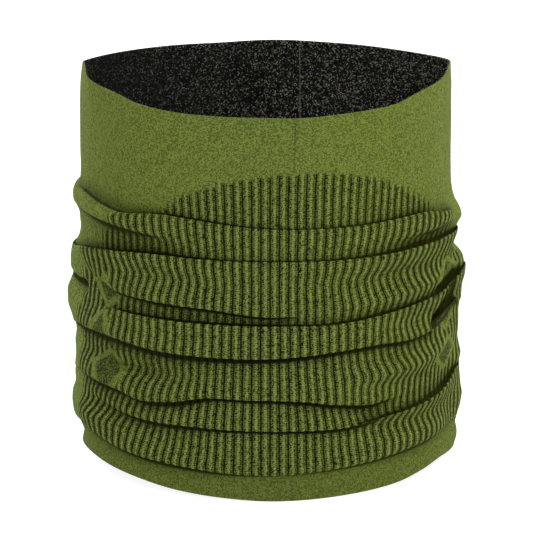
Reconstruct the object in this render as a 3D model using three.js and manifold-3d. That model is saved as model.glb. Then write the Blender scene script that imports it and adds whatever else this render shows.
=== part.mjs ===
// Neck gaiter: a seamless tube of plated knit, standing open and slouched into six folds.
// Millimetres, +Z up, the front towards -Y, the origin under the middle of the bottom edge.
//
// The tube is cut at its creases into tiers: the hem at the bottom, six folds, and the collar at the top.
// Every tier has a green face and a black lining inside it. At each crease one tier ends in a skirt, the
// cloth that is tucked away behind the next tier and that comes out when the collar is pulled up.
import * as THREE from 'three';
import Module from 'manifold-3d';
import { mergeVertices } from 'three/addons/utils/BufferGeometryUtils.js';

// The plan of the tube: a deep round front and a shallow back, which meet at two side corners.
const HALF_WIDTH = 92.5;
const FRONT_DEPTH = 83;
const BACK_DEPTH = 33;
const BACK_FULLNESS = 0.65;
const CORNER_Y = (FRONT_DEPTH - BACK_DEPTH) / 2;
const FRONT_STEPS = 20;
const BACK_STEPS = 14;

// The cloth.
const FACE_THICK = 1.1;
const LAYER_GAP = 0.4;
const LINING_THICK = 0.9;
const CREASE_GAP = 0.4;
const EDGE_GAP = 0.3;

// The cloth tucked away at a crease.
const SKIRT_LENGTH = 7.6;
const SKIRT_OFFSET = -2.9;
const TUCK_DEPTH = 3.5;
const TUCK_END = 0.2;
const NECK_OFFSET = 0.2;
const FREE_EDGE_OFFSET = 1.0;

// The finished edges at both ends of the tube.
const EDGE_HEIGHT = 2.6;
const EDGE_OUTSET = 0.5;
const EDGE_BEVEL = 0.7;

// The creases from the bottom up: the height at the middle of the front and back, how much higher the
// crease lies at the left and the right corner, and which neighbour is tucked behind the other.
const CREASES = [
  { height: 13, left: 0, right: 0, tucked: 'below' },
  { height: 37, left: -5, right: -4, tucked: 'below' },
  { height: 53, left: -8, right: -5, tucked: 'below' },
  { height: 75, left: -7, right: 1, tucked: 'below' },
  { height: 91, left: -4, right: 2, tucked: 'above' },
  { height: 124, left: -16, right: -13, tucked: 'above' },
  { height: 141, left: -4, right: -17, tucked: 'above' },
];
const TUBE_HEIGHT = 201.5;
const BOTTOM = { height: EDGE_HEIGHT + EDGE_GAP, left: 0, right: 0, tucked: 'none' };
const TOP = { height: TUBE_HEIGHT - EDGE_HEIGHT - EDGE_GAP, left: 0, right: 0, tucked: 'none' };

// How far each tier bulges, and the share of its height at which each point of the bulge lies.
const BULGE = { hem: 0.6, fold: 5.5, collar: 1.2 };
const BULGE_SHAPE = [
  { share: 0.18, bulge: 0.78 },
  { share: 0.5, bulge: 1 },
  { share: 0.82, bulge: 0.78 },
];

// The arched tops of the ribbed panels that reach up into the collar.
const ARCH = { across: 10, base: 118, halfWidth: 75, rise: 55 };
const ARCH_STEPS = 20;

// The gap between knit zones that meet side by side, and a length that reaches past the whole tube.
const ZONE_GAP = 0.3;
const REACH = 100;

const GREEN_KNIT = { color: 0x66742f, roughness: 0.95, metalness: 0 };
const RIBBED_KNIT = { color: 0x4b5526, roughness: 0.97, metalness: 0 };
const BLACK_KNIT = { color: 0x1d1b19, roughness: 0.97, metalness: 0 };

const wasm = await Module();
wasm.setup();

/** The corner points of the plan, from the right corner round the front to the left and back. */
function planPoints() {
  const points = [];
  for (let i = 0; i < FRONT_STEPS; i++) {
    const turn = (Math.PI * i) / FRONT_STEPS;
    points.push({ x: HALF_WIDTH * Math.cos(turn), y: CORNER_Y - FRONT_DEPTH * Math.sin(turn) });
  }
  for (let i = 0; i < BACK_STEPS; i++) {
    const across = -Math.cos((Math.PI * i) / BACK_STEPS);
    const depth = BACK_DEPTH * (1 - across * across) ** BACK_FULLNESS;
    points.push({ x: HALF_WIDTH * across, y: CORNER_Y + depth });
  }
  return points;
}

/** The plan's points with the outward direction at each, long enough to keep an offset wall even. */
function planStations() {
  const points = planPoints();
  const outward = (from, to) => new THREE.Vector2(from.y - to.y, to.x - from.x).normalize();
  return points.map((point, i) => {
    const before = points[(i + points.length - 1) % points.length];
    const after = points[(i + 1) % points.length];
    const first = outward(before, point);
    const middle = first.clone().add(outward(point, after)).normalize();
    middle.multiplyScalar(1 / middle.dot(first));
    return { x: point.x, y: point.y, outX: middle.x, outY: middle.y };
  });
}

const STATIONS = planStations();

/** The height of a crease at one station: it eases up or down towards each corner. */
function creaseHeight(crease, station) {
  const lift = station.x < 0 ? crease.left : crease.right;
  return crease.height + lift * THREE.MathUtils.smoothstep(Math.abs(station.x), 0, HALF_WIDTH);
}

/** The outer line of a tier at one station, from its bottom up, as offsets from the plan and heights. */
function tierLine(tier, station) {
  const low = creaseHeight(tier.lower, station);
  const high = creaseHeight(tier.upper, station);
  let bulgeLow = low;
  let bulgeHigh = high;
  const line = [];
  if (tier.lower.tucked === 'above') {
    bulgeLow = low + TUCK_DEPTH;
    line.push({ offset: SKIRT_OFFSET, z: low - SKIRT_LENGTH });
    line.push({ offset: SKIRT_OFFSET, z: low + TUCK_END });
    line.push({ offset: NECK_OFFSET, z: bulgeLow });
  } else if (tier.lower.tucked === 'below') {
    line.push({ offset: FREE_EDGE_OFFSET, z: low + CREASE_GAP });
  } else {
    line.push({ offset: 0, z: low });
  }
  if (tier.upper.tucked === 'below') {
    bulgeHigh = high - TUCK_DEPTH;
  }
  for (const point of BULGE_SHAPE) {
    line.push({ offset: tier.bulge * point.bulge, z: bulgeLow + (bulgeHigh - bulgeLow) * point.share });
  }
  if (tier.upper.tucked === 'below') {
    line.push({ offset: NECK_OFFSET, z: bulgeHigh });
    line.push({ offset: SKIRT_OFFSET, z: high - TUCK_END });
    line.push({ offset: SKIRT_OFFSET, z: high + SKIRT_LENGTH });
  } else if (tier.upper.tucked === 'above') {
    line.push({ offset: FREE_EDGE_OFFSET, z: high - CREASE_GAP });
  } else {
    line.push({ offset: 0, z: high });
  }
  return line;
}

/** A closed ring: the loop of points that outlineAt gives at each station, joined round the plan. */
function ringGeometry(outlineAt) {
  const outlines = STATIONS.map(outlineAt);
  const perStation = outlines[0].length;
  const positions = [];
  STATIONS.forEach((station, i) => {
    for (const point of outlines[i]) {
      positions.push(station.x + station.outX * point.offset);
      positions.push(station.y + station.outY * point.offset);
      positions.push(point.z);
    }
  });
  const triangles = [];
  for (let i = 0; i < STATIONS.length; i++) {
    const here = i * perStation;
    const next = ((i + 1) % STATIONS.length) * perStation;
    for (let j = 0; j < perStation; j++) {
      const up = (j + 1) % perStation;
      triangles.push(here + j, here + up, next + j);
      triangles.push(here + up, next + up, next + j);
    }
  }
  const geometry = new THREE.BufferGeometry();
  geometry.setAttribute('position', new THREE.Float32BufferAttribute(positions, 3));
  geometry.setIndex(triangles);
  return geometry;
}

/** One layer of a tier's cloth: its outer line moved inwards by depth, and again by the thickness. */
function layerGeometry(tier, depth, thick) {
  return ringGeometry((station) => {
    const line = tierLine(tier, station);
    const outer = line.map((point) => ({ offset: point.offset - depth, z: point.z }));
    const inner = line.map((point) => ({ offset: point.offset - depth - thick, z: point.z }));
    return [...outer, ...inner.reverse()];
  });
}

/** A finished edge: a narrow ring as thick as both layers, with its outer corners bevelled. */
function edgeGeometry(bottom) {
  const inside = -(FACE_THICK + LAYER_GAP + LINING_THICK);
  const top = bottom + EDGE_HEIGHT;
  return ringGeometry(() => [
    { offset: 0, z: bottom },
    { offset: EDGE_OUTSET, z: bottom + EDGE_BEVEL },
    { offset: EDGE_OUTSET, z: top - EDGE_BEVEL },
    { offset: 0, z: top },
    { offset: inside, z: top },
    { offset: inside, z: bottom },
  ]);
}

/** The block behind one arch, on the front (side -1) or the back (side 1), smaller all round by gap. */
function archBlock(side, gap) {
  const shape = new THREE.Shape();
  const across = -side * ARCH.across;
  const half = ARCH.halfWidth - gap;
  const floor = ARCH.base - REACH / 2;
  shape.absellipse(across, ARCH.base, half, ARCH.rise - gap, 0, Math.PI, false);
  shape.lineTo(across - half, floor);
  shape.lineTo(across + half, floor);
  shape.closePath();
  const depth = REACH - gap;
  const block = new THREE.ExtrudeGeometry(shape, { depth, bevelEnabled: false, curveSegments: ARCH_STEPS });
  block.rotateX(Math.PI / 2);
  block.translate(0, side < 0 ? -gap : REACH, 0);
  return block;
}

/** The block that holds everything in front (side -1) or behind (side 1) the two side corners. */
function halfBlock(side) {
  const block = new THREE.BoxGeometry(REACH * 4, REACH * 2, REACH * 6);
  block.translate(0, CORNER_Y + side * (REACH + ZONE_GAP / 2), 0);
  return block;
}

/** A geometry as a solid that can be cut and joined. */
function toSolid(geometry) {
  const plain = geometry.clone();
  plain.deleteAttribute('normal');
  plain.deleteAttribute('uv');
  const welded = mergeVertices(plain);
  return new wasm.Manifold(new wasm.Mesh({
    numProp: 3,
    vertProperties: new Float32Array(welded.attributes.position.array),
    triVerts: new Uint32Array(welded.index.array),
  }));
}

/** A solid as a geometry again. */
function toGeometry(solid) {
  const mesh = solid.getMesh();
  const geometry = new THREE.BufferGeometry();
  geometry.setAttribute('position', new THREE.Float32BufferAttribute(mesh.vertProperties, 3));
  geometry.setIndex(Array.from(mesh.triVerts));
  return geometry;
}

const group = new THREE.Group();
group.name = 'neck_gaiter';

/** Adds one named piece of cloth to the gaiter. */
function addPiece(name, geometry, cloth) {
  geometry.computeVertexNormals();
  const mesh = new THREE.Mesh(geometry, new THREE.MeshStandardMaterial(cloth));
  mesh.name = name;
  group.add(mesh);
}

/** A tier's black lining. */
function addLining(name, tier) {
  addPiece(name, layerGeometry(tier, FACE_THICK + LAYER_GAP, LINING_THICK), BLACK_KNIT);
}

/** The plain hem, which stands on its finished edge. */
function addHem() {
  const hem = { lower: BOTTOM, upper: CREASES[0], bulge: BULGE.hem };
  addPiece('bottom_edge', edgeGeometry(0), GREEN_KNIT);
  addPiece('hem_face', layerGeometry(hem, 0, FACE_THICK), GREEN_KNIT);
  addLining('hem_lining', hem);
}

/** The six ribbed folds, numbered from the bottom, each with a front and a back that meet at the corners. */
function addFolds() {
  for (let i = 1; i < CREASES.length; i++) {
    const fold = { lower: CREASES[i - 1], upper: CREASES[i], bulge: BULGE.fold };
    const face = toSolid(layerGeometry(fold, 0, FACE_THICK));
    addPiece(`fold_${i}_front`, toGeometry(face.intersect(toSolid(halfBlock(-1)))), RIBBED_KNIT);
    addPiece(`fold_${i}_back`, toGeometry(face.intersect(toSolid(halfBlock(1)))), RIBBED_KNIT);
    addLining(`fold_${i}_lining`, fold);
  }
}

/** The smooth collar, with an arched ribbed panel let into its front and its back. */
function addCollar() {
  const collar = { lower: CREASES[CREASES.length - 1], upper: TOP, bulge: BULGE.collar };
  const whole = toSolid(layerGeometry(collar, 0, FACE_THICK));
  const front = toSolid(archBlock(-1, 0));
  const back = toSolid(archBlock(1, 0));
  addPiece('collar_face', toGeometry(whole.subtract(front).subtract(back)), GREEN_KNIT);
  addPiece('collar_front_ribs', toGeometry(whole.intersect(toSolid(archBlock(-1, ZONE_GAP)))), RIBBED_KNIT);
  addPiece('collar_back_ribs', toGeometry(whole.intersect(toSolid(archBlock(1, ZONE_GAP)))), RIBBED_KNIT);
  addLining('collar_lining', collar);
  addPiece('top_edge', edgeGeometry(TUBE_HEIGHT - EDGE_HEIGHT), GREEN_KNIT);
}

addHem();
addFolds();
addCollar();

export default group;
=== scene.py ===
"""Neck gaiter: the looks of a seamless plated knit tube that stands open, slouched into soft folds.

The tube is worked out in millimetres as a grid of knit, with ten columns for every rib round the tube and
a row for nearly every course up it. The grid is bent into the folds, given its ribs, and cut across into
pieces between the tiers of the frame.
"""
import math

import bpy
import numpy as np
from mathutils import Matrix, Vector


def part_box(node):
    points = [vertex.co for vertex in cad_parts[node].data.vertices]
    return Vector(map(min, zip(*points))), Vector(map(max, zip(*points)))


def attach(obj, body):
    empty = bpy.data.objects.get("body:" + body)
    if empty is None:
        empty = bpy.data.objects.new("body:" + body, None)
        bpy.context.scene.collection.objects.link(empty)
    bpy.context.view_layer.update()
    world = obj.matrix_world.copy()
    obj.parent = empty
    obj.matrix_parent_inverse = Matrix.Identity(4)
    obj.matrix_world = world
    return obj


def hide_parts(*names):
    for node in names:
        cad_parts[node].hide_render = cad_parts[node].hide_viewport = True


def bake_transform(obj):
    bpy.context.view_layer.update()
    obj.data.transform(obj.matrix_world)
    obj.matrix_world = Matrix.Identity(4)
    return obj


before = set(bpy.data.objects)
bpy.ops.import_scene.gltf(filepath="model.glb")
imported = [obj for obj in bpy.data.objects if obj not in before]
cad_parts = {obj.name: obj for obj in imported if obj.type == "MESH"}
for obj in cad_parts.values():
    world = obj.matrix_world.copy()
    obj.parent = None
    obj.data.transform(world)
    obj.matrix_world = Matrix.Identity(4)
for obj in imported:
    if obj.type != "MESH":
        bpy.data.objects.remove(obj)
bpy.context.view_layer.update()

MM = 0.001
LEFT, RIGHT = -90.0, 90.0

# ---------------------------------------------------------------- the tube's plan, in millimetres

TUBE_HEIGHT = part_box("top_edge")[1][2] / MM
HALF_WIDTH = 92.5
FRONT_DEPTH = 83.0
BACK_DEPTH = 33.0
BACK_FULLNESS = 0.85
CORNER_Y = (FRONT_DEPTH - BACK_DEPTH) / 2

RIBS = 107
COLUMNS_PER_RIB = 10
COLUMNS = RIBS * COLUMNS_PER_RIB
PLAN_SAMPLES = 7201
ROW_STEP = 0.62
THICKNESS = 1.5
EDGE_RADIUS = THICKNESS / 2


def plan_point(turn):
    """Points on the plan: turn is 0 at the front's middle, 90 at the right corner and 180 at the back."""
    across = np.sin(np.radians(turn))
    front = CORNER_Y - FRONT_DEPTH * np.cos(np.radians(turn))
    back = CORNER_Y + BACK_DEPTH * (1 - across**2) ** BACK_FULLNESS
    return np.stack([HALF_WIDTH * across, np.where(np.abs(turn) <= RIGHT, front, back)], axis=-1)


def around(points, turn):
    """A smooth periodic curve through {turn: value} points, read at turn."""
    known = sorted(points.items())
    at = np.array([k for k, _ in known], float)
    value = np.array([v for _, v in known], float)
    at = np.concatenate([at[-2:] - 360, at, at[:2] + 360])
    value = np.concatenate([value[-2:], value, value[:2]])
    rise = np.diff(value) / np.diff(at)
    same_way = rise[:-1] * rise[1:] > 0
    slope = np.zeros(len(at))
    total = np.where(same_way, rise[:-1] + rise[1:], 1)
    slope[1:-1] = np.where(same_way, 2 * rise[:-1] * rise[1:] / total, 0)
    i = np.clip(np.searchsorted(at, turn, side="right") - 1, 0, len(at) - 2)
    width = at[i + 1] - at[i]
    t = (turn - at[i]) / width
    return (
        value[i] * (1 + 2 * t) * (1 - t) ** 2
        + slope[i] * width * t * (1 - t) ** 2
        + value[i + 1] * t * t * (3 - 2 * t)
        + slope[i + 1] * width * t * t * (t - 1)
    )


def smoothstep(low, high, x):
    """0 up to low and 1 from high on, smooth in between; low may be the larger."""
    t = np.clip((x - low) / (high - low), 0, 1)
    return t * t * (3 - 2 * t)


def blur(values, radius, axis, wrap):
    """A Gaussian blur along one axis of a grid, radius in grid steps."""
    reach = int(math.ceil(3 * radius))
    weights = np.exp(-0.5 * (np.arange(-reach, reach + 1) / radius) ** 2)
    weights /= weights.sum()
    pad = [(0, 0)] * values.ndim
    pad[axis] = (reach, reach)
    padded = np.pad(values, pad, mode="wrap" if wrap else "edge")
    out = np.zeros_like(values)
    for i, weight in enumerate(weights):
        out += weight * np.take(padded, np.arange(i, i + values.shape[axis]), axis=axis)
    return out


def wobble(seed, shape, radii):
    """Soft random unevenness over the grid, about 1 high and with the blur radii given in grid steps."""
    noise = np.random.default_rng(seed).normal(size=shape)
    noise = blur(blur(noise, radii[0], 0, False), radii[1], 1, True)
    return noise / noise.std()


def plan_columns():
    """The turn of every column, with the columns evenly spaced round the tube, and the plan's length."""
    turn = np.linspace(-180, 180, PLAN_SAMPLES)
    steps = np.linalg.norm(np.diff(plan_point(turn), axis=0), axis=1)
    along = np.concatenate([[0], np.cumsum(steps)])
    even = np.arange(COLUMNS) * along[-1] / COLUMNS
    return np.interp(even, along, turn), even, along[-1]


TURN, AROUND, ROUND_LENGTH = plan_columns()
COLUMN_STEP = ROUND_LENGTH / COLUMNS
RIB_PITCH = ROUND_LENGTH / RIBS
FRONT_AT = float(np.interp(0, TURN, AROUND))

# ---------------------------------------------------------------- the folds

# Each crease has one free edge that stands proud and one side that is tucked in behind it. proud is +1
# where the cloth above hangs over the cloth below, and -1 where the lip of the cloth below stands in
# front. The rest are read round the tube by turn, in millimetres:
#   line   the height of the free edge
#   out    how proud the edge stands
#   deep   how far the cloth behind it is tucked in
#   over   how far the edge covers the pocket
#   roll   how far from the edge the proud side settles back
#   shade  how far from the edge the tucked side comes out again
CREASES = {
    "collar_lip": {
        "proud": -1,
        "line": {-150: 143, -120: 142, -90: 141, -70: 143, -50: 141, -30: 145, 0: 142, 30: 140, 50: 139,
                 70: 133, 90: 126, 120: 130, 150: 137, 180: 141},
        "out": {-135: 2.5, -90: 3, -75: 4, -60: 4, -40: 3.4, -25: 2.6, 0: 1.2, 30: 2.6, 45: 3.8,
                60: 4.6, 75: 4.6, 90: 4, 135: 2.5, 180: 1.5},
        "deep": {-90: 1.2, -72: 1.8, -56: 1.8, -36: 0.8, 0: 0.3, 30: 0.3, 60: 0.6, 80: 0.3, 90: 0,
                 180: 0.8},
        "over": {-90: 0.3, -72: 0.6, -56: 0.7, -30: 1.2, 0: 1.2, 60: 1.6, 76: 0.8, 86: 0, 100: 0,
                 130: 1.2, 180: 1.5},
        "roll": {-90: 9, -60: 9, -20: 12, 20: 12, 60: 10, 90: 10, 180: 12},
        "shade": {-90: 9, 0: 9, 90: 6, 180: 8},
    },
    "first_hang": {
        "proud": 1,
        "line": {-150: 128, -90: 129, -80: 131, -60: 133, -40: 133, -20: 130, 0: 128, 25: 129, 40: 128,
                 60: 127, 80: 124, 90: 121, 120: 121, 180: 127},
        "out": {-110: 0, -85: 1, -60: 1.6, -40: 1, -22: 0, 34: 0, 50: 1.2, 60: 1.5, 80: 1.2, 110: 0,
                180: 0},
        "deep": {-110: 0, -90: 1.6, -60: 2, -40: 1.4, -22: 0, 34: 0, 50: 0.7, 75: 0.9, 90: 0.8, 110: 0,
                 180: 0},
        "over": {-110: 0, -85: 0.4, -60: 0.6, -40: 0.3, -22: 0, 38: 0, 50: 0.2, 60: 0.3, 80: 0.3,
                 110: 0, 180: 0},
        "roll": {180: 5},
        "shade": {-60: 7, 60: 5, 180: 6},
    },
    "second_lip": {
        "proud": -1,
        "line": {-150: 114, -120: 108, -90: 108, -80: 110, -70: 114, -50: 120, -30: 124, 0: 125,
                 30: 123, 60: 121, 80: 119, 90: 117, 120: 114, 150: 118, 180: 122},
        "out": {-135: 3, -90: 4, -70: 5, -50: 5, -30: 4, -15: 2.6, 0: 1.6, 15: 2.2, 30: 4, 50: 5, 70: 5,
                90: 4, 180: 2},
        "deep": {-90: 1, -60: 1.2, -40: 0.8, -15: 0.5, 0: 0.4, 20: 0.4, 40: 0.7, 60: 1.1, 75: 1.5,
                 90: 1, 180: 1},
        "over": {-90: 1.5, -60: 2.4, 0: 1.6, 60: 1.8, 80: 1.6, 90: 0.8, 180: 2},
        "roll": {-90: 8, -60: 7, -30: 8, 0: 10, 30: 8, 60: 8, 90: 9, 180: 12},
        "shade": {-90: 6, -60: 7, 0: 8, 60: 6, 90: 5, 180: 8},
    },
    "left_pocket": {
        "proud": 1,
        "line": {-120: 92, -90: 96, -77: 95.6, -68: 94.4, 180: 92},
        "out": {-130: 0, -105: 2, -90: 2, -78: 1.2, -68: 0, 180: 0},
        "deep": {-130: 0, -105: 2, -88: 3, -80: 3, -68: 0, 180: 0},
        "over": {-130: 0, -105: 2, -90: 2, -80: 1.6, -69: 0, 180: 0},
        "roll": {-90: 6, 180: 6},
        "shade": {-90: 5, 180: 5},
    },
    "third_hang": {
        "proud": 1,
        "line": {-90: 104, -60: 102, -50: 99, -40: 99, -20: 99, 0: 96.5, 20: 96, 180: 98},
        "out": {-72: 0, -60: 1.4, -50: 2.6, -35: 3.6, -20: 3, -10: 2.2, 4: 1, 18: 0, 180: 0},
        "deep": {-72: 0, -60: 3, -50: 4, -35: 5, -20: 4, -8: 2.4, 6: 1, 20: 0, 180: 0},
        "over": {-66: 0, -52: 3, -30: 3, -12: 2.2, 4: 1, 16: 0, 180: 0},
        "roll": {180: 7},
        "shade": {180: 4},
    },
    "third_lip": {
        "proud": -1,
        "line": {-160: 95, -90: 88, -60: 88, -50: 90, -30: 91, 0: 92, 20: 91, 40: 92.2, 55: 92.8,
                 66: 93.2, 72: 94, 78: 95.2, 85: 97, 92: 96, 120: 91, 150: 91, 180: 94},
        "out": {-140: 1.5, -100: 0, -62: 0, -50: 2, -35: 3.6, -15: 2.6, 0: 1.8, 20: 3, 40: 4, 60: 4,
                78: 4.5, 90: 4, 130: 2.6, 180: 2},
        "deep": {-140: 1, -100: 0, -62: 0, -45: 1, 0: 0.8, 30: 1, 50: 1.4, 62: 2.2, 70: 3, 80: 3,
                 90: 1.6, 130: 1.6, 180: 1},
        "over": {-140: 1.5, -100: 0, -62: 0, -45: 1.5, 0: 2, 30: 2, 60: 2.2, 80: 2.4, 90: 1.2, 180: 2},
        "roll": {0: 8, 60: 6, 90: 5, 180: 9},
        "shade": {0: 4, 30: 6, 60: 6, 90: 5, 180: 8},
    },
    "fourth_hang": {
        "proud": 1,
        "line": {-150: 69, -120: 66, -90: 67, -80: 70, -70: 73, -50: 75, -30: 74, 0: 75, 30: 77, 50: 75,
                 60: 75, 70: 78, 80: 80, 90: 79, 120: 74, 150: 71, 180: 73},
        "out": {-90: 2, -70: 3.8, -50: 5.2, -25: 4.2, 0: 2.6, 25: 3.4, 45: 3.8, 60: 3, 80: 3, 100: 3,
                180: 2},
        "deep": {-90: 2, -60: 5, -30: 4, 0: 2, 25: 2, 45: 2, 60: 2, 80: 2, 96: 2, 180: 2.5},
        "over": {-90: 1.5, -60: 3, 0: 2.5, 36: 1.6, 55: 1, 66: 0.5, 80: 0.9, 90: 1.1, 180: 2},
        "roll": {-90: 6, -50: 5.5, 0: 7, 40: 6, 60: 5, 80: 4, 180: 9},
        "shade": {-90: 4, -60: 7, 0: 6, 60: 6, 75: 6, 90: 5, 180: 7},
    },
    "right_pocket": {
        "proud": -1,
        "line": {0: 74, 57: 76, 61: 78.4, 67: 81, 74: 85, 82: 87, 180: 78},
        "out": {55: 0, 62: 3, 73: 3.4, 80: 0, 180: 0},
        "deep": {57: 0, 62: 3, 66: 4, 74: 4, 81: 0, 180: 0},
        "over": {57: 0, 63: 2, 74: 2, 81: 0, 180: 0},
        "roll": {180: 4},
        "shade": {180: 4},
    },
    "fifth_hang": {
        "proud": 1,
        "line": {-150: 45, -120: 42, -90: 44, -70: 48, -50: 48, -40: 46, -30: 48, -15: 53, 0: 53,
                 10: 52, 20: 49, 35: 46, 60: 46, 150: 50, 180: 50},
        "out": {-90: 2.4, -65: 4, -45: 4, -20: 3, 0: 2, 15: 2.6, 30: 2.4, 40: 1, 52: 0, 110: 0,
                140: 1.6, 180: 1.8},
        "deep": {-90: 2.4, -60: 5, -35: 4, -15: 2, 0: 1.8, 20: 3.2, 34: 2.6, 46: 0.7, 56: 0, 110: 0,
                 140: 2, 180: 2},
        "over": {-90: 1.5, -60: 3, 0: 2, 25: 1.8, 38: 0.7, 50: 0, 110: 0, 140: 2, 180: 2},
        "roll": {-60: 7, 0: 9, 30: 7, 180: 9},
        "shade": {-60: 6, 0: 6, 180: 7},
    },
    "sixth_lip": {
        "proud": -1,
        "line": {0: 40, 30: 39.6, 45: 39.8, 60: 41, 70: 43, 80: 46, 90: 45, 120: 39, 150: 37, 180: 38},
        "out": {22: 0, 32: 1.6, 50: 3.2, 65: 4, 90: 4, 120: 3, 160: 0, 180: 0},
        "deep": {22: 0, 32: 0.6, 52: 0.7, 65: 0.8, 80: 1.2, 90: 1, 120: 1, 160: 0, 180: 0},
        "over": {22: 0, 32: 0.8, 52: 1.3, 80: 1.6, 90: 1.2, 120: 1.5, 160: 0, 180: 0},
        "roll": {40: 5, 60: 6, 90: 10, 180: 10},
        "shade": {60: 7, 180: 7},
    },
    "sixth_hang": {
        "proud": 1,
        "line": {-90: 38, -60: 38, -40: 36, -20: 37, 0: 37, 20: 36, 36: 34.4, 50: 34.2, 65: 35.6,
                 80: 37, 180: 34, -150: 33},
        "out": {-110: 0, -74: 0, -60: 1.5, -45: 3, -20: 2.4, 0: 1.8, 20: 3, 40: 2.4, 60: 1.6, 82: 0,
                130: 0, 160: 1.2, 180: 1.2, -160: 1.2},
        "deep": {-110: 0, -74: 0, -60: 3, -45: 4, -20: 2.4, 0: 1.2, 20: 1.6, 40: 1, 60: 0.6, 80: 0,
                 130: 0, 160: 1.5, -160: 1.5},
        "over": {-110: 0, -74: 0, -50: 1.4, -20: 1.6, 0: 1.6, 20: 1, 36: 0.4, 60: 0.1, 80: 0, 130: 0,
                 160: 1.5, -160: 1.5},
        "roll": {180: 6},
        "shade": {-50: 8, 0: 5, 180: 6},
    },
    "hem_hang": {
        "proud": 1,
        "line": {-150: 14, -120: 16, -90: 17, -70: 20, -50: 17, -30: 15, 0: 13, 30: 15, 50: 17, 70: 18,
                 90: 15, 120: 15, 150: 13, 180: 13},
        "out": {-90: 1.6, -60: 3, -35: 3, 0: 1.4, 35: 2.4, 60: 2.6, 90: 1, 180: 1.2},
        "deep": {-90: 1.4, -60: 2.6, -30: 1.8, 0: 0.8, 60: 1.4, 90: 0.8, 180: 1},
        "over": {-90: 0.3, -60: 0.8, -30: 0.6, 0: 0.3, 60: 0.3, 90: 0.2, 180: 0.3},
        "roll": {-90: 8, 0: 7, 90: 7, 180: 7},
        "shade": {180: 3.5},
    },
}

# How far the silhouette stands out from the plan at the left and right corner, by height.
SIDES = {
    LEFT: {0: -1.6, 4: -2.4, 9: -3, 12: -4, 15: -1, 20: 3.2, 26: 4.2, 31: 3.8, 36: 1.8, 41: 2.6,
           50: 1.2, 58: 2.2, 64: 1.2, 70: 3.3, 76: 6.6, 84: 6.8, 88: 5, 92: 3.6, 97: 4, 103: 4, 107: 3,
           112: -0.4, 118: -1.5, 122: -0.8, 126: -0.4, 129: 2, 133: 3.1, 136: 3, 139: 1.6, 142: -1,
           150: -1.7, 165: -1.4, 180: -1, 202: -1},
    RIGHT: {0: 1.2, 5: 3.2, 9: 3.4, 14: 2.3, 18: 3, 22: 4.8, 29: 6.2, 34: 5, 40: 4.2, 44: 3.6, 50: 5.6,
            54: 4.2, 59: 2.8, 66: 3.2, 74: 3.2, 79: 4.4, 86: 5.3, 92: 7.3, 98: 7.1, 102: 5.8, 106: 1.8,
            110: -2, 115: -2, 119: 2.4, 123: 4.8, 127: 3.6, 131: 1.2, 136: -0.3, 142: -1, 165: -1.2,
            190: -1.4, 202: -2.8},
}
# Soft swellings between the creases: (height, how far out, how tall), the first two by turn.
SWELLS = [
    ({0: 99, 60: 100, 80: 100}, {14: 0, 32: 1.6, 50: 2.3, 66: 2.3, 80: 1, 90: 0, 180: 0}, 4.0),
    ({0: 61, 60: 62, 80: 66}, {16: 0, 30: 2.6, 42: 3.4, 54: 2.8, 66: 1.6, 80: 0.6, 90: 0, 180: 0}, 4.8),
    ({180: 29}, {-90: 0, -80: 1, -66: 3.4, -50: 1.6, -36: 0, 180: 0}, 4.5),
    ({180: 26}, {24: 0, 44: 2, 60: 2, 80: 0, 180: 0}, 5.0),
    ({180: 112},
     {-70: 0, -56: -0.8, -40: -1.2, -20: -0.8, 0: 0, 30: -1.2, 50: -1.8, 64: -1, 80: 0, 180: 0}, 5.0),
    ({180: 84}, {-60: 0, -44: -1.6, -20: -1, 0: 0, 30: -1.2, 50: -1.6, 66: 0, 180: 0}, 4.5),
    ({180: 62}, {-90: 0, -64: -1.4, -40: -2.2, -20: -1.2, 0: 0, 20: 0, 180: 0}, 5.0),
]

# Open hollows between the folds: (height, how far in, how tall), the first two by turn. A hollow gets
# painted shade, dark from the first depth in HOLLOW_PAINTED_SHADE and black from the second.
HOLLOWS = [
    ({60: 80, 67: 84, 74: 87.8}, {59: 0, 63: 4.5, 68: 6.5, 73: 5.5, 78: 0, 180: 0}, 2.1),
    ({60: 94.6, 67: 95.4, 72: 96.4, 80: 97.8}, {62: 0, 68: 2.4, 73: 5, 79: 5, 84: 2, 88: 0, 180: 0}, 2.1),
    ({-90: 93, -69: 93}, {-93: 0, -87: 4.4, -76: 6, -68: 0, 180: 0}, 3.0),
]
HOLLOW_PAINTED_SHADE = (1.6, 3.8)

# The rim leans forward at the front, from the lower height in RIM_RISE up, and sags a little there.
RIM_BELLY = {-90: 0, -66: 0.6, -52: 2.4, -40: 3.8, 0: 4.2, 40: 3.8, 52: 2.4, 66: 0.6, 90: 0, 180: 0}
RIM_RISE = (140.0, 202.0)
RIM_SAG = 0.36

# How far round from each corner the wall follows SIDES, in degrees, how strongly, and how softly, in
# millimetres.
SIDE_REACH = 11.0
SIDE_HOLD = 0.9
SIDE_SOFTNESS = 1.0

# How far the whole wall stands out from the plan at each height: the slouched middle is the fullest.
FULLNESS = {0: -1.2, 14: -1, 30: -0.4, 60: 0, 83: 0.8, 105: 0, 125: -0.6, 145: -0.6, 202: -1}

# A fold turns over within FOLD_ROUNDNESS fold widths either side of its middle, and its free edge lies
# EDGE_AT fold widths from there. At the front an edge rises by LIP_RISE for each millimetre it stands
# out.
PROFILE_STEP = 0.25
FOLD_WIDTH = 3.4
FOLD_ROUNDNESS = 1.25
EDGE_AT = 0.65
LIP_RISE = 0.35
# The highest value of x * exp(-x * x).
OVERLAP_PEAK = 0.4289


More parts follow.
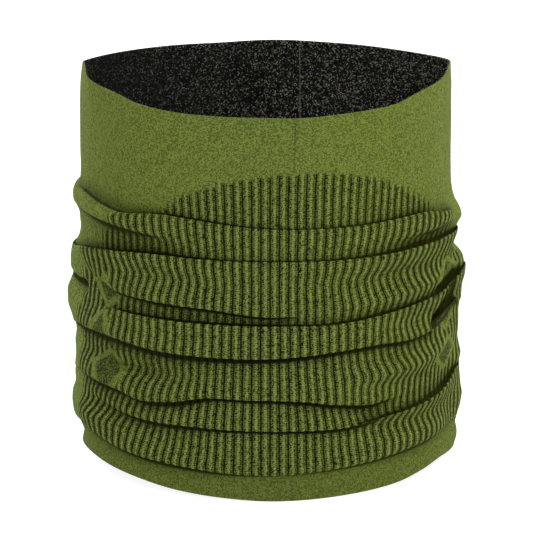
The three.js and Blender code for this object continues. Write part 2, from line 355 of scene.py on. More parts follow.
def crease_shape(crease, height):
    """What one crease adds to each column at each height: how far outwards and how far upwards."""
    proud = crease["proud"]
    out, deep, over = (around(crease[key], TURN) for key in ("out", "deep", "over"))
    roll, shade = (around(crease[key], TURN) for key in ("roll", "shade"))
    strength = np.clip(over, 0, 1)
    hidden = np.maximum(over, 0)
    edge = around(crease["line"], TURN) + LIP_RISE * out * np.maximum(np.cos(np.radians(TURN)), 0)
    from_middle = (height - edge - proud * hidden) * proud
    x = from_middle / FOLD_WIDTH
    step = smoothstep(-FOLD_ROUNDNESS, FOLD_ROUNDNESS, x)
    stands = out * np.exp(-((np.maximum(from_middle, 0) / roll) ** 2))
    tucked = deep * np.exp(-((np.maximum(-from_middle, 0) / shade) ** 1.5))
    lean = (hidden + EDGE_AT * FOLD_WIDTH * strength) / OVERLAP_PEAK
    return stands * step - tucked * (1 - step), -proud * lean * x * np.exp(-x * x)


def hollowed(height):
    """How far the open hollows take each column in at each height."""
    return sum(around(depth, TURN) * np.exp(-(((height - around(line, TURN)) / tall) ** 2))
               for line, depth, tall in HOLLOWS)


def fold_wall(rows):
    """How far out and how high each point of the wall is, from its plain height, before the folds."""
    height = rows[:, None] * np.ones((1, COLUMNS))
    out = np.interp(height, list(FULLNESS), list(FULLNESS.values()))
    out += around(RIM_BELLY, TURN) * smoothstep(*RIM_RISE, height)
    up = height - RIM_SAG * around(RIM_BELLY, TURN) * smoothstep(*RIM_RISE, height)
    for crease in CREASES.values():
        stands, lift = crease_shape(crease, height)
        out += stands
        up += lift
    for line, swell, tall in SWELLS:
        out += around(swell, TURN) * np.exp(-(((height - around(line, TURN)) / tall) ** 2))
    out -= hollowed(height)
    for corner, outline in SIDES.items():
        known = np.interp(up, list(outline), list(outline.values()))
        known = blur(known, SIDE_SOFTNESS / PROFILE_STEP, 0, False)
        share = SIDE_HOLD * np.exp(-(((TURN - corner) / SIDE_REACH) ** 2))
        out += share * (known - out)
    return out, up


# Painted shade: the cloth is painted dark where a fold closes over it, by the angle open above it, and
# deep in a pocket, by the angle open above and below together. It is painted with a softer shade where it
# is less open, mostly above. Each pair is the angle in degrees where that starts and where it is full.
OVERHUNG = (60.0, 32.0)
POCKETED = (100.0, 66.0)
SHADED = (88.0, 38.0)
SKY_SHARE = 0.65
# How many rows away a fold still counts, and how many columns share one look.
CREVICE_REACH = 46
CREVICE_EVERY = 5


def open_angles(out, up):
    """The angle open above and below each point of the wall, in degrees: 90 beside a straight wall."""
    above = np.full(out.shape, 90.0)
    below = np.full(out.shape, 90.0)
    for step in range(1, CREVICE_REACH + 1):
        further = out[step:] - out[:-step]
        higher = up[step:] - up[:-step]
        low_rows, high_rows = slice(None, -step), slice(step, None)
        for open_angle, rows, towards in ((above, low_rows, further), (below, high_rows, -further)):
            angle = np.degrees(np.arctan2(higher, towards))
            angle = np.where((towards < 0) & (higher < 0), 180, angle)
            open_angle[rows] = np.minimum(open_angle[rows], angle)
    return above, below


def crevice_masks(out, up):
    """Two masks of painted shade: how far each point is shut into a crevice, and how far the folds round
    it shade it.
    """
    above, below = open_angles(out[:, ::CREVICE_EVERY], up[:, ::CREVICE_EVERY])
    shut = np.maximum(smoothstep(*OVERHUNG, above), smoothstep(*POCKETED, above + below))
    shaded = smoothstep(*SHADED, SKY_SHARE * above + (1 - SKY_SHARE) * below)
    spread = (np.repeat(mask, CREVICE_EVERY, axis=1) for mask in (shut, shaded))
    return [blur(mask, CREVICE_EVERY / 2, 1, True) for mask in spread]


def resample(values, along, even):
    """Each column of values, read again at even steps along it."""
    columns = range(values.shape[1])
    return np.stack([np.interp(even[:, i], along[:, i], values[:, i]) for i in columns], axis=1)


# The corners of the plan are crisp at the rim and rounder in the slouched wall; lengths in millimetres.
SHARP_RIM = (150.0, 192.0)
SOFT_CORNER = 4.5
TURNING_CORNER = 7.0

# How far the bottom edge lifts towards the corners.
HEM_LIFT = {-90: 4.5, -70: 6.2, -57: 5.4, -44: 4.3, -30: 2.5, -15: 1.2, 5: 0, 25: 0.5, 45: 1.1, 57: 2.5,
            69: 3.4, 80: 2, 90: 1.5, 180: 1.5}
HEM_LIFT_UNTIL = 15.0


def plan_curves():
    """The crisp plan, the plan with softer corners, and the unit direction outwards at each column."""
    sharp = plan_point(TURN)
    soft = blur(sharp, SOFT_CORNER / COLUMN_STEP, 0, True)
    soft[:, 0] *= HALF_WIDTH / soft[:, 0].max()
    turning = blur(sharp, TURNING_CORNER / COLUMN_STEP, 0, True)
    tangent = np.roll(turning, -1, axis=0) - np.roll(turning, 1, axis=0)
    outward = np.stack([tangent[:, 1], -tangent[:, 0]], axis=-1)
    return sharp, soft, outward / np.linalg.norm(outward, axis=-1, keepdims=True)


SHARP_PLAN, SOFT_PLAN, OUTWARD = plan_curves()

# A fold that stands out also leans sideways, away from the middle of the front.
SWAY = 0.75


def leaning():
    """Which way, and how far for each millimetre it stands out, the wall goes at each column."""
    tangent = np.stack([-OUTWARD[:, 1], OUTWARD[:, 0]], axis=-1)
    return OUTWARD + SWAY * np.sin(2 * np.radians(TURN))[:, None] * tangent


LEANING = leaning()


def to_points(out, up, every=1):
    """Grid points in millimetres from how far out and how high each one is, at every few columns."""
    share = smoothstep(*SHARP_RIM, up)[..., None]
    plan = SOFT_PLAN[::every] * (1 - share) + SHARP_PLAN[::every] * share
    return np.concatenate([plan + LEANING[::every] * out[..., None], up[..., None]], axis=-1)


def grid_normals(points):
    """Unit normals of a grid that is closed round its second axis."""
    along = np.gradient(points, axis=0)
    across = np.roll(points, -1, axis=1) - np.roll(points, 1, axis=1)
    normal = np.cross(across, along)
    return normal / np.maximum(np.linalg.norm(normal, axis=-1, keepdims=True), 1e-9)


# ---------------------------------------------------------------- the ribbed panels

# The height at which the ribs begin at each turn: an arch on the front and the back, none at the sides.
# Each rib begins a little higher or lower than the arch, up to RAGGED. Lengths in millimetres.
NO_RIBS = -60
ARCH = {-180: 168, -150: 160, -128: 140, -116: 118, -111: 90, -108: NO_RIBS, -79: NO_RIBS, -75: 80,
        -71: 106, -64: 117, -57: 133, -38: 146, -22: 160, -10: 167, 8: 171, 20: 170, 40: 160, 54: 148,
        63: 138, 69: 131, 80: 112, 88: 98, 96: 60, 101: 10, 104: NO_RIBS, 112: NO_RIBS, 116: 100,
        128: 140, 150: 160}
RAGGED_SEED = 5
RAGGED = 0.8
PANEL_START = (0.5, -0.5)
PANEL_END = (-0.4, 0.4)
ABOVE_HEM = 0.6
LINE_HALF_WIDTH = 0.3
LINE_DEPTH = 0.34
WALE_SWELL = 0.12
WALE_HALF_WIDTH = 0.6

# Three knitted diamonds one above another replace the ribs on the left and on the right of the front.
MOTIF_AT = (-56, 72)
MOTIF_HEIGHTS = (48.0, 110.0)
MOTIF_HALF_WIDTH = 15.0
DIAMONDS = 3
STROKE = (0.64, 0.94)
STROKE_SOFTNESS = 0.04
STRIP_SOFTNESS = 0.4


def within(edge, softness, values):
    """1 well below edge and 0 well above it."""
    return smoothstep(edge + softness, edge - softness, values)


def diamonds(plain):
    """Two masks at each plain height: 1 on the strokes of the knitted diamonds, and 1 inside them."""
    low, high = MOTIF_HEIGHTS
    up = np.abs(((plain - low) / (high - low) * DIAMONDS) % 1 - 0.5) * 2
    strip = (1 - within(low, STRIP_SOFTNESS, plain)) * within(high, STRIP_SOFTNESS, plain)
    strokes = np.zeros_like(plain)
    insides = np.zeros_like(plain)
    for turn in MOTIF_AT:
        across = np.abs(AROUND - np.interp(turn, TURN, AROUND)) / MOTIF_HALF_WIDTH
        reach = up + across[None, :]
        inside, outline = (within(edge, STROKE_SOFTNESS, reach) for edge in STROKE)
        strokes += outline * (1 - inside) * strip
        insides += inside * strip
    return strokes, insides


def ribbed_mask(plain):
    """Two masks: 1 in the ribbed panels, each rib from its own height down, and 1 on the dark mesh."""
    rib = np.floor((AROUND - FRONT_AT) / RIB_PITCH + 0.5)
    starts = around(ARCH, np.interp(FRONT_AT + rib * RIB_PITCH, AROUND, TURN))
    ragged = np.random.default_rng(RAGGED_SEED).uniform(-RAGGED, RAGGED, 2 * RIBS)
    starts = starts + ragged[(rib - rib.min()).astype(int)]
    hem = around(CREASES["hem_hang"]["line"], TURN) + ABOVE_HEM
    panel = smoothstep(*PANEL_START, plain - starts) * smoothstep(*PANEL_END, plain - hem)
    strokes, insides = diamonds(plain)
    return panel * (1 - strokes - insides), insides


def rib_relief(ribbed):
    """How far the knit stands out of its middle surface: the lines sink, the ribs swell between them."""
    share = (AROUND - FRONT_AT) / RIB_PITCH + 0.5
    from_line = RIB_PITCH * np.abs(share - np.round(share))
    from_middle = RIB_PITCH / 2 - from_line
    sunk = -LINE_DEPTH * np.exp(-((from_line / LINE_HALF_WIDTH) ** 2))
    swell = WALE_SWELL * np.exp(-((from_middle / WALE_HALF_WIDTH) ** 2))
    return (sunk + swell)[None, :] * ribbed


# ---------------------------------------------------------------- the two layers, in millimetres

# The crevice and shaded masks carry painted shade; ribbed and dark_mesh mark the knit's own pattern.
MASKS = ("ribbed", "dark_mesh", "crevice", "shaded")
COURSE = 0.53
# The wall is a little uneven, and evens out towards the hem. The radii are in grid steps.
UNEVENNESS = 0.25
UNEVEN_SEED = 3
UNEVEN_RADII = (36, 26)
UNEVEN_FROM = (0, 30)
EDGE_ROWS = 4
# The lining has a coarser grid, keeps clear of each fold from LINING_REACH above and below it, and meets
# the rolled edges within LINING_EDGE of them.
LINING_STEP = 1.1
LINING_EVERY = 2
LINING_REACH = 2.5
LINING_SOFTNESS = 3.0
LINING_SOFT_COLUMNS = 4
LINING_EDGE = 8.0


def half_turn(points, along, side):
    """Adds the rolled edge at both ends of a layer: side is +1 for the outer layer, -1 for the lining."""
    every = COLUMNS // points.shape[1]
    inwards = np.concatenate([-OUTWARD[::every], np.zeros((points.shape[1], 1))], axis=-1) * side
    angle = np.linspace(0, math.pi / 2, EDGE_ROWS + 1)[1:]
    for end, sign in ((0, -1), (-1, 1)):
        middle = points[end] + inwards * EDGE_RADIUS
        lift = np.array([0, 0, sign * EDGE_RADIUS])
        arc = [middle - inwards * EDGE_RADIUS * math.cos(a) + lift * math.sin(a) for a in angle]
        length = [along[end] + sign * EDGE_RADIUS * a for a in angle]
        if sign < 0:
            points = np.concatenate([np.array(arc[::-1]), points])
            along = np.concatenate([np.array(length[::-1]), along])
        else:
            points = np.concatenate([points, np.array(arc)])
            along = np.concatenate([along, np.array(length)])
    return points, along


def outer_layer():
    """The green face, ribs and all: its points, its length up each column, its wall and its masks."""
    plain = np.arange(EDGE_RADIUS, TUBE_HEIGHT - EDGE_RADIUS + PROFILE_STEP / 2, PROFILE_STEP)
    out, up = fold_wall(plain)
    uneven = UNEVENNESS * wobble(UNEVEN_SEED, out.shape, UNEVEN_RADII)
    out += uneven * smoothstep(*UNEVEN_FROM, plain)[:, None]
    up += around(HEM_LIFT, TURN)[None, :] * smoothstep(HEM_LIFT_UNTIL, 0, plain)[:, None]
    steps = np.hypot(np.diff(out, axis=0), np.diff(up, axis=0))
    along = np.concatenate([np.zeros((1, COLUMNS)), np.cumsum(steps, axis=0)])
    rows = int(round(along[-1].mean() / ROW_STEP))
    even = np.linspace(0, 1, rows)[:, None] * along[-1][None, :]
    heights = plain[:, None] * np.ones((1, COLUMNS))
    out, up, heights = (resample(values, along, even) for values in (out, up, heights))
    # Painted shade: crevices and open hollows are painted dark, and the cloth round the folds gets a
    # softer shade.
    painted_crevice_shade, shaded = crevice_masks(out, up)
    painted_crevice_shade = np.maximum(painted_crevice_shade, smoothstep(*HOLLOW_PAINTED_SHADE, hollowed(heights)))
    ribbed, dark_mesh = ribbed_mask(heights)
    points = to_points(out, up)
    points = points + grid_normals(points) * rib_relief(ribbed)[..., None]
    points, even = half_turn(points, even, 1)
    layer = {"points": points, "along": even, "out": out, "up": up}
    for label, mask in zip(MASKS, (ribbed, dark_mesh, painted_crevice_shade, shaded)):
        layer[label] = np.pad(mask, ((EDGE_ROWS, EDGE_ROWS), (0, 0)))
    return layer


def lining_layer(outer):
    """The black inside: it runs smoothly behind the folds, a knit's thickness in from the deepest."""
    out, up = outer["out"][:, ::LINING_EVERY], outer["up"][:, ::LINING_EVERY]
    columns = out.shape[1]
    rows = int((TUBE_HEIGHT - THICKNESS) / LINING_STEP)
    share = np.linspace(0, 1, rows)[:, None]
    heights = up[0] * (1 - share) + up[-1] * share
    step = (up[-1] - up[0]) / (rows - 1)
    nearest = np.clip(np.round((up - up[0]) / step), 0, rows - 1).astype(int)
    deepest = np.full((rows, columns), np.inf)
    np.minimum.at(deepest, (nearest, np.arange(columns)[None, :]), out)
    reach = int(round(LINING_REACH / LINING_STEP))
    padded = np.pad(deepest, ((reach, reach), (0, 0)), mode="edge")
    deepest = np.min([padded[i:i + rows] for i in range(2 * reach + 1)], axis=0)
    soft = blur(deepest, LINING_SOFTNESS / LINING_STEP / 2, 0, False)
    soft = blur(soft, LINING_SOFT_COLUMNS, 1, True)
    near_end = np.minimum(heights - heights[0], heights[-1] - heights)
    ends = np.where(share < 0.5, out[0], out[-1])
    soft = ends + (soft - ends) * smoothstep(0, LINING_EDGE, near_end)
    points = to_points(soft - THICKNESS, heights, LINING_EVERY)
    steps = np.linalg.norm(np.diff(points, axis=0), axis=-1)
    along = np.concatenate([np.zeros((1, columns)), np.cumsum(steps, axis=0)])
    points, along = half_turn(points, along, -1)
    return {"points": points, "along": along}


# ---------------------------------------------------------------- cutting the layers into pieces

FOLDS = range(1, 7)
BODIES = ["hem", *(f"fold_{i}" for i in FOLDS), "collar"]
FACES = ["hem_face", *(f"fold_{i}_front" for i in FOLDS), "collar_face"]
MIDDLE_SHARE = 0.5
HEM_SHARE = 0.66


def body_height(body, face):
    """The height at which the wall is cut at a body: its face's middle, or higher on the hem."""
    low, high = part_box(face)
    share = HEM_SHARE if body == "hem" else MIDDLE_SHARE
    return (low[2] + share * (high[2] - low[2])) / MM


HEIGHTS = [body_height(body, face) for body, face in zip(BODIES, FACES)]


def face_corners(chosen, columns, inside):
    """The four grid points of each chosen face, and how many ribs round the tube each of them is."""
    row, column = np.nonzero(chosen)
    right = column + 1
    low, high = row * columns, (row + 1) * columns
    after = right % columns
    corners = np.stack([low + column, low + after, high + after, high + column], axis=1)
    ribs = np.stack([column, right, right, column], axis=1) * (RIBS / columns)
    ribs = ribs - FRONT_AT / RIB_PITCH + 0.5
    if inside:
        return corners[:, ::-1], ribs[:, ::-1]
    return corners, ribs


def piece_mesh(name, layer, chosen, inside):
    """A mesh of the chosen grid faces, with the grid's normals, its ribs and courses, and its masks."""
    points, along = layer["points"], layer["along"]
    corners, ribs = face_corners(chosen, along.shape[1], inside)
    used, vertices = np.unique(corners, return_inverse=True)
    mesh = bpy.data.meshes.new(name)
    mesh.vertices.add(len(used))
    mesh.vertices.foreach_set("co", (points.reshape(-1, 3)[used] * MM).ravel())
    mesh.loops.add(corners.size)
    mesh.loops.foreach_set("vertex_index", vertices.ravel().astype(np.int32))
    mesh.polygons.add(len(corners))
    mesh.polygons.foreach_set("loop_start", np.arange(0, corners.size, 4, dtype=np.int32))
    mesh.update(calc_edges=True)
    courses = along.ravel()[corners] / COURSE
    uv = mesh.uv_layers.new(name="ribs_and_courses")
    uv.data.foreach_set("uv", np.stack([ribs, courses], axis=-1).ravel().astype(np.float32))
    for label in MASKS:
        if label in layer:
            mask = mesh.attributes.new(label, "FLOAT", "POINT")
            mask.data.foreach_set("value", layer[label].ravel()[used].astype(np.float32))
    mesh.polygons.foreach_set("use_smooth", np.ones(len(corners), bool))
    mesh.validate()
    normals = grid_normals(points).reshape(-1, 3)[used] * (-1 if inside else 1)
    mesh.normals_split_custom_set_from_vertices(normals.astype(np.float32))
    return mesh


def cut_layer(layer, label, inside, end_material, middle_material):
    """Cuts a layer across at the middle of each body; each end piece goes with its one body."""
    points, along = layer["points"], layer["along"]
    height = points[..., 2]
    middle = (height[:-1] + height[1:]) / 2
    middle = (middle + np.roll(middle, -1, axis=1)) / 2
    edges = [-np.inf, *HEIGHTS, np.inf]
    pieces = []
    for i, (low, high) in enumerate(zip(edges, edges[1:])):
        chosen = (middle >= low) & (middle < high)
        below = BODIES[i - 1] if i else None
        above = BODIES[i] if i < len(BODIES) else None
        name = f"{label}_{below or 'end'}_{above or 'end'}"
        piece = bpy.data.objects.new(name, piece_mesh(name, layer, chosen, inside))
        bpy.context.scene.collection.objects.link(piece)
        piece.data.materials.append(middle_material if below and above else end_material)
        if below and above:
            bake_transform(piece)
        else:
            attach(piece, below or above)
        pieces.append(piece)
    return pieces


# ---------------------------------------------------------------- materials

# Where the colour mix has its inputs and its output.
MIX_SHARE, MIX_FIRST, MIX_SECOND, MIX_RESULT = 0, 6, 7, 2
BUMP_DEPTH = 0.3 * MM
SPECULAR = 0.08
SHEEN_ROUGHNESS = 0.35


class Nodes:
    """A material under construction, whose methods add shader nodes and give back their outputs."""

    def __init__(self, name):
        self.material = bpy.data.materials.new(name)
        self.material.use_nodes = True
        self.tree = self.material.node_tree
        self.shader = self.tree.nodes["Principled BSDF"]

    def add(self, kind, **settings):
        """A new node of a kind, with its settings."""
        node = self.tree.nodes.new(kind)
        for key, value in settings.items():
            setattr(node, key, value)
        return node

    def plug(self, value, socket):
        """Links an output to a socket, or sets a plain value on it."""
        if isinstance(value, bpy.types.NodeSocket):
            self.tree.links.new(value, socket)
        else:
            socket.default_value = value

    def math(self, operation, *values):
        """One sum on outputs or plain values."""
        node = self.add("ShaderNodeMath", operation=operation)
        for value, socket in zip(values, node.inputs):
            self.plug(value, socket)
        return node.outputs[0]

    def fade(self, value, start, end, low=0.0, high=1.0):
        """low up to start and high from end on, smooth in between; start may be the larger."""
        node = self.add("ShaderNodeMapRange", interpolation_type="SMOOTHSTEP")
        for item, socket in zip((value, start, end, low, high), node.inputs):
            self.plug(item, socket)
        return node.outputs[0]

    def mix(self, share, first, second):
        """The first colour where share is 0 and the second where it is 1."""
        node = self.add("ShaderNodeMix", data_type="RGBA")
        for item, place in ((share, MIX_SHARE), (first, MIX_FIRST), (second, MIX_SECOND)):
            self.plug(item, node.inputs[place])
        return node.outputs[MIX_RESULT]

    def tint(self, colour, strength):
        """A colour made lighter or darker by a factor."""
        node = self.add("ShaderNodeVectorMath", operation="SCALE")
        self.plug(colour, node.inputs[0])
        self.plug(strength, node.inputs["Scale"])
        return node.outputs[0]

    def attribute(self, name):
        """One of the masks on the mesh."""
        return self.add("ShaderNodeAttribute", attribute_name=name).outputs["Fac"]

    def counts(self):
        """How many ribs round and how many courses up."""
        uv = self.add("ShaderNodeUVMap", uv_map="ribs_and_courses")
        split = self.add("ShaderNodeSeparateXYZ")
        self.tree.links.new(uv.outputs[0], split.inputs[0])
        return split.outputs[0], split.outputs[1]

    def cell(self, across, up, seed=0.0):
        """A random number from 0 to 1 for each whole number across and up."""
        join = self.add("ShaderNodeCombineXYZ")
        self.plug(self.math("FLOOR", across), join.inputs[0])
        self.plug(self.math("FLOOR", up), join.inputs[1])
        join.inputs[2].default_value = seed
        noise = self.add("ShaderNodeTexWhiteNoise", noise_dimensions="3D")
        self.tree.links.new(join.outputs[0], noise.inputs[0])
        return noise.outputs[0]

    def off(self, value, middle):
        """How far a value is from a middle, either way."""
        return self.math("ABSOLUTE", self.math("SUBTRACT", value, middle))

    def cloud(self, scale, detail):
        """Soft noise from 0 to 1, with scale blotches a metre."""
        place = self.add("ShaderNodeTexCoord")
        noise = self.add("ShaderNodeTexNoise")
        self.tree.links.new(place.outputs["Object"], noise.inputs["Vector"])
        noise.inputs["Scale"].default_value = scale
        noise.inputs["Detail"].default_value = detail
        return noise.outputs[0]

    def finish(self, shown, relief, roughness, sheen, sheen_tint):
        """The finished yarn material, with its stitches raised and a soft sheen of loose fibres."""
        bump = self.add("ShaderNodeBump")
        bump.inputs["Distance"].default_value = BUMP_DEPTH
        self.plug(relief, bump.inputs["Height"])
        self.tree.links.new(bump.outputs[0], self.shader.inputs["Normal"])
        self.plug(shown, self.shader.inputs["Base Color"])
        self.shader.inputs["Roughness"].default_value = roughness
        self.shader.inputs["Specular IOR Level"].default_value = SPECULAR
        self.shader.inputs["Sheen Weight"].default_value = sheen
        self.shader.inputs["Sheen Roughness"].default_value = SHEEN_ROUGHNESS
        self.shader.inputs["Sheen Tint"].default_value = sheen_tint
        return self.material


def linear(value):
    """A linear share of light from the usual 0 to 255 value, by the sRGB curve."""
    if value > 10:
        return ((value / 255 + 0.055) / 1.055) ** 2.4
    return value / 255 / 12.92


def colour(red, green, blue):
    """A linear colour from the usual 0 to 255 values."""
    return (linear(red), linear(green), linear(blue), 1.0)


LIGHT_GREEN = colour(125, 139, 70)
GREEN = colour(115, 131, 58)
DEEP_GREEN = colour(93, 105, 46)
DARK_LINE = colour(4, 4, 2)
BLACK = colour(13, 12, 12)
GREY_SPECK = colour(190, 189, 183)
OLIVE_SPECK = colour(150, 156, 110)
FACE_SHEEN = colour(170, 180, 20)
LINING_SHEEN = colour(150, 150, 145)

WALES_PER_RIB = 8
STITCH_SLANT = 0.9
START_LINE = 3.5
LINING_START_LINE = 50.0
START_LINE_EDGE = (0.12, 0.06)


def stitches(nodes):
    """The knit's stitches: (ribs round, wales round, courses up, each stitch's relief)."""
    ribs, courses = nodes.counts()
    wales = nodes.math("MULTIPLY_ADD", ribs, WALES_PER_RIB, 0.5)
    off_middle = nodes.off(nodes.math("FRACT", wales), 0.5)
    leg = nodes.math("SINE", nodes.math("MULTIPLY", off_middle, 2 * math.pi))
    leaning = nodes.math("FRACT", nodes.math("MULTIPLY_ADD", off_middle, -STITCH_SLANT, courses))
    loop = nodes.math("SINE", nodes.math("MULTIPLY", leaning, math.pi))
    return ribs, wales, courses, nodes.math("MULTIPLY", leg, loop)


def start_line(nodes, ribs, at):
    """1 along one wale, where the knitting of each course starts, and 0 elsewhere."""
    return nodes.fade(nodes.off(ribs, at), *START_LINE_EDGE)


# The shades of the knit are fades, (start, end, low, high): low up to start and high from end on. Where
# only start and end are given, low is 0 and high is 1. First the smooth knit.
LOOP_SHADES = (0.0, 0.8, 0.55, 1.0)
HEATHER = (0.0, 1.0, 0.5, 1.45)
START_LINE_DOTS = (0.9, 0.3, 0.1, 0.6)
# Painted shade: the lowest courses are darker, as if less light reached the hem.
HEM_PAINTED_SHADE = (22.0, 52.0, 0.76, 1.0)


def smooth_colour(nodes, ribs, courses, relief, chance, pairs):
    """The smooth knit: heather green, crossed by one dotted line, with painted shade darkening the hem.
    """
    shown = nodes.mix(nodes.fade(relief, *LOOP_SHADES), DEEP_GREEN, GREEN)
    shown = nodes.tint(shown, nodes.fade(chance, *HEATHER))
    dots = nodes.fade(pairs, *START_LINE_DOTS)
    shown = nodes.mix(nodes.math("MULTIPLY", start_line(nodes, ribs, START_LINE), dots), shown, DARK_LINE)
    return nodes.tint(shown, nodes.fade(courses, *HEM_PAINTED_SHADE))


# The ribs. Half the width of the dark line between two ribs grows with the ribs from the front's middle.
LINE_REACH = (10.0, 27.0, 0.105, 0.19)
LINE_EDGE = (0.48, 0.53)
LINE_BREAKS = (0.0, 0.3, 0.7, 1.0)
BREAK_SEED = 3.0
# A bright wale runs up the middle of each rib, and the wales beside it are broken by dark loops.
BRIGHT_WALE = (0.18, 0.08)
DARKEST_LOOPS = (0.0, 1.0, 0.04, 0.45)
LIGHTEST_LOOPS = (0.0, 1.0, 1.5, 1.35)
DARK_LOOPS = (0.15, 0.55)
GAPS = (0.6, 0.1)
GAP_STRENGTH = (0.0, 1.0, 0.8, 0.25)
# A thinner dark line runs beside the bright wale.
SECOND_LINE_AT = 0.755
SECOND_LINE_EDGE = (0.07, 0.03)
SECOND_LINE_DOTS = (0.1, 0.9, 0.85, 0.3)


def ribbed_colour(nodes, ribs, wales, courses, chance, pairs):
    """The ribbed knit: a bright wale up each rib, dotted wales beside it, and dark lines between ribs."""
    in_rib = nodes.math("FRACT", ribs)
    off_centre = nodes.off(in_rib, 0.5)
    bright = nodes.fade(off_centre, *BRIGHT_WALE)
    shown = nodes.mix(bright, DEEP_GREEN, LIGHT_GREEN)
    darkest = nodes.fade(bright, *DARKEST_LOOPS)
    lightest = nodes.fade(bright, *LIGHTEST_LOOPS)
    shown = nodes.tint(shown, nodes.fade(chance, *DARK_LOOPS, darkest, lightest))
    gaps = nodes.math("MULTIPLY", nodes.fade(pairs, *GAPS), nodes.fade(bright, *GAP_STRENGTH))
    shown = nodes.mix(gaps, shown, DARK_LINE)
    reach = nodes.fade(nodes.math("ABSOLUTE", ribs), *LINE_REACH)
    line = nodes.fade(nodes.math("ADD", off_centre, reach), *LINE_EDGE)
    kept = nodes.fade(nodes.cell(wales, courses, BREAK_SEED), *LINE_BREAKS)
    shown = nodes.mix(nodes.math("MULTIPLY", line, kept), shown, DARK_LINE)
    second = nodes.fade(nodes.off(in_rib, SECOND_LINE_AT), *SECOND_LINE_EDGE)
    dots = nodes.fade(chance, *SECOND_LINE_DOTS)
    return nodes.mix(nodes.math("MULTIPLY", second, dots), shown, DARK_LINE)


# What dims both knits: chance, noise, and painted shade in the folds and crevices.
MESH_LOOPS = (0.35, 0.95, 0.04, 0.75)
BLOTCH_SCALE = 900.0
BLOTCH_DETAIL = 3.0
BLOTCHES = (0.3, 0.7, 0.94, 1.06)
FOLD_PAINTED_SHADE = (0.0, 1.0, 1.0, 0.52)
CREVICE_PAINTED_SHADE = (0.1, 0.85, 1.0, 0.02)


def green_knit(name):
    """The face of the knit: smooth, or ribbed, or dark mesh, with painted shade in the folds and
    crevices.
    """
    nodes = Nodes(name)
    ribs, wales, courses, relief = stitches(nodes)
    chance = nodes.cell(wales, courses)
    # Courses go in twos: 0 where two meet the next two, and 1 in their middle.
    in_pair = nodes.math("FRACT", nodes.math("MULTIPLY", courses, 0.5))
    pairs = nodes.math("SINE", nodes.math("MULTIPLY", in_pair, math.pi))
    smooth = smooth_colour(nodes, ribs, courses, relief, chance, pairs)
    ribbed = ribbed_colour(nodes, ribs, wales, courses, chance, pairs)
    mesh = nodes.mix(nodes.fade(chance, *MESH_LOOPS), DARK_LINE, GREEN)
    shown = nodes.mix(nodes.attribute("ribbed"), smooth, ribbed)
    shown = nodes.mix(nodes.attribute("dark_mesh"), shown, mesh)
    shown = nodes.tint(shown, nodes.fade(nodes.cloud(BLOTCH_SCALE, BLOTCH_DETAIL), *BLOTCHES))
    # Painted shade: darker where the folds round the cloth shade it, nearly black deep in the crevices.
    shown = nodes.tint(shown, nodes.fade(nodes.attribute("shaded"), *FOLD_PAINTED_SHADE))
    shown = nodes.tint(shown, nodes.fade(nodes.attribute("crevice"), *CREVICE_PAINTED_SHADE))
    return nodes.finish(shown, relief, roughness=0.9, sheen=0.25, sheen_tint=FACE_SHEEN)


# How much face yarn shows through the back of the knit, by ribs from the front's middle: these are
# multiplied, so that more shows on the right half of the tube, and on the left half mostly at the back.
# The specks are real, but their spread round the tube is painted light, thicker where light falls inside.
LEFT_SPECKS_AND_LIGHT = (-50.0, -32.0, 0.72, 0.2)
RIGHT_SPECKS_AND_LIGHT = (0.0, 1.0, 1.0, 5.0)
BACK_SPECKS_AND_LIGHT = (32.0, 50.0, 1.5, 1.4)
# The higher the power, the fewer the specks.
GREY_POWER = 13.0
OLIVE_POWER = 20.0
OLIVE_SEED = 7.0
LINING_START_SHARE = 0.25
LINING_LOOP_SHADES = (0.0, 0.8, 0.4, 1.1)


def black_knit(name):
    """The back of the knit: black loops with grey and olive specks of face yarn, spread round as painted
    light.
    """
    nodes = Nodes(name)
    ribs, wales, courses, relief = stitches(nodes)
    # Painted light: more specks on the right half and at the back stand in for light on the inside.
    right = nodes.math("MULTIPLY", nodes.fade(ribs, *RIGHT_SPECKS_AND_LIGHT), nodes.fade(ribs, *BACK_SPECKS_AND_LIGHT))
    specks_and_painted_light = nodes.math("MULTIPLY", nodes.fade(ribs, *LEFT_SPECKS_AND_LIGHT), right)
    grey = nodes.math("POWER", nodes.cell(wales, courses), GREY_POWER)
    olive = nodes.math("POWER", nodes.cell(wales, courses, OLIVE_SEED), OLIVE_POWER)
    shown = nodes.mix(nodes.math("MULTIPLY", specks_and_painted_light, grey), BLACK, GREY_SPECK)
    shown = nodes.mix(nodes.math("MULTIPLY", specks_and_painted_light, olive), shown, OLIVE_SPECK)
    start = nodes.math("MULTIPLY", start_line(nodes, ribs, LINING_START_LINE), LINING_START_SHARE)
    shown = nodes.mix(start, shown, GREY_SPECK)
    shown = nodes.tint(shown, nodes.fade(relief, *LINING_LOOP_SHADES))
    return nodes.finish(shown, relief, roughness=0.95, sheen=0.1, sheen_tint=LINING_SHEEN)


# ---------------------------------------------------------------- the gaiter

smooth_green = green_knit("green_knit")
ribbed_green = green_knit("ribbed_knit")
black = black_knit("black_knit")

outer = outer_layer()
lining = lining_layer(outer)
face_pieces = cut_layer(outer, "face", False, smooth_green, ribbed_green)
lining_pieces = cut_layer(lining, "lining", True, black, black)

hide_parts("bottom_edge", "hem_face")
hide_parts("hem_lining")
for i in FOLDS:
    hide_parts(f"fold_{i}_front", f"fold_{i}_back")
    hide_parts(f"fold_{i}_lining")
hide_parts("collar_front_ribs", "collar_back_ribs")
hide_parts("collar_face", "top_edge")
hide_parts("collar_lining")

# ---------------------------------------------------------------- floor and light, in metres and watts

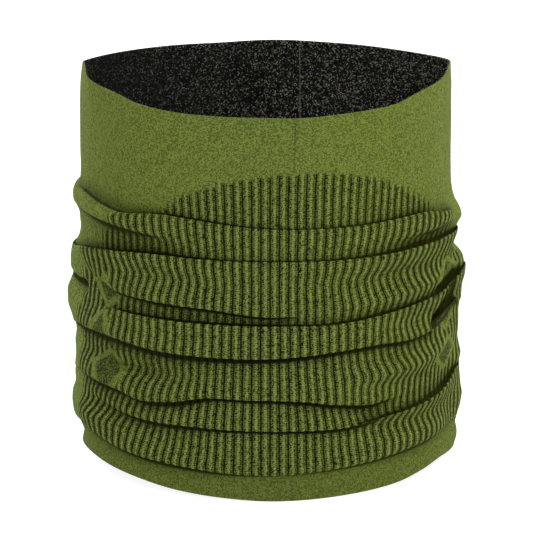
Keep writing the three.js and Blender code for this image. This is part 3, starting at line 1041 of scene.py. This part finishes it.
WHITE = (1, 1, 1, 1)
FLOOR_SIZE = 6.0
FLOOR_GREY = (0.3, 0.3, 0.3, 1)
FLOOR_ROUGHNESS = 0.8
FLOOR_GLOW = 0.88
WORLD_STRENGTH = 0.62
MIDDLE = (0.0022, 0.0, 0.1008)
# (name, place, size, power)
LIGHTS = [
    ("key", (0.75, -1.25, 2.0), 1.2, 34),
    ("left_rim", (-1.0, 1.4, 0.8), 0.9, 29),
    ("right_rim", (1.1, 1.2, 0.6), 0.9, 18),
]


def add_floor():
    """A pale floor with a glow of its own, so that only a faint shadow shows on it."""
    bpy.ops.mesh.primitive_plane_add(size=FLOOR_SIZE, location=(0, 0, 0))
    floor = bpy.context.object
    floor.name = "floor"
    nodes = Nodes("pale_floor")
    nodes.shader.inputs["Base Color"].default_value = FLOOR_GREY
    nodes.shader.inputs["Roughness"].default_value = FLOOR_ROUGHNESS
    nodes.shader.inputs["Emission Color"].default_value = WHITE
    nodes.shader.inputs["Emission Strength"].default_value = FLOOR_GLOW
    floor.data.materials.append(nodes.material)


def add_world():
    """An even white light from all round."""
    world = bpy.data.worlds.new("studio")
    bpy.context.scene.world = world
    world.use_nodes = True
    background = world.node_tree.nodes["Background"]
    background.inputs["Color"].default_value = WHITE
    background.inputs["Strength"].default_value = WORLD_STRENGTH


def add_light(name, place, size, power):
    """A square soft light at place, turned to the gaiter's middle."""
    data = bpy.data.lights.new(name, "AREA")
    data.shape = "SQUARE"
    data.size = size
    data.energy = power
    light = bpy.data.objects.new(name, data)
    light.location = place
    light.rotation_euler = (Vector(MIDDLE) - Vector(place)).to_track_quat("-Z", "Y").to_euler()
    bpy.context.scene.collection.objects.link(light)


add_floor()
add_world()
for light_values in LIGHTS:
    add_light(*light_values)

# ---------------------------------------------------------------- camera

CAMERA_DISTANCE = 6.0
CAMERA_ELEVATION = math.radians(19.5)
LENS = 812.0
SENSOR_WIDTH = 36.0
CAMERA_SEES = 20.0


def add_camera():
    """A long lens in front of the gaiter and a little above, level with no roll."""
    data = bpy.data.cameras.new("camera")
    data.lens = LENS
    data.sensor_width = SENSOR_WIDTH
    data.clip_end = CAMERA_SEES
    camera = bpy.data.objects.new("camera", data)
    camera.location = (
        MIDDLE[0],
        -CAMERA_DISTANCE * math.cos(CAMERA_ELEVATION),
        MIDDLE[2] + CAMERA_DISTANCE * math.sin(CAMERA_ELEVATION),
    )
    camera.rotation_euler = (math.pi / 2 - CAMERA_ELEVATION, 0, 0)
    bpy.context.scene.collection.objects.link(camera)
    bpy.context.scene.camera = camera


add_camera()
bpy.context.scene.view_settings.view_transform = "Standard"
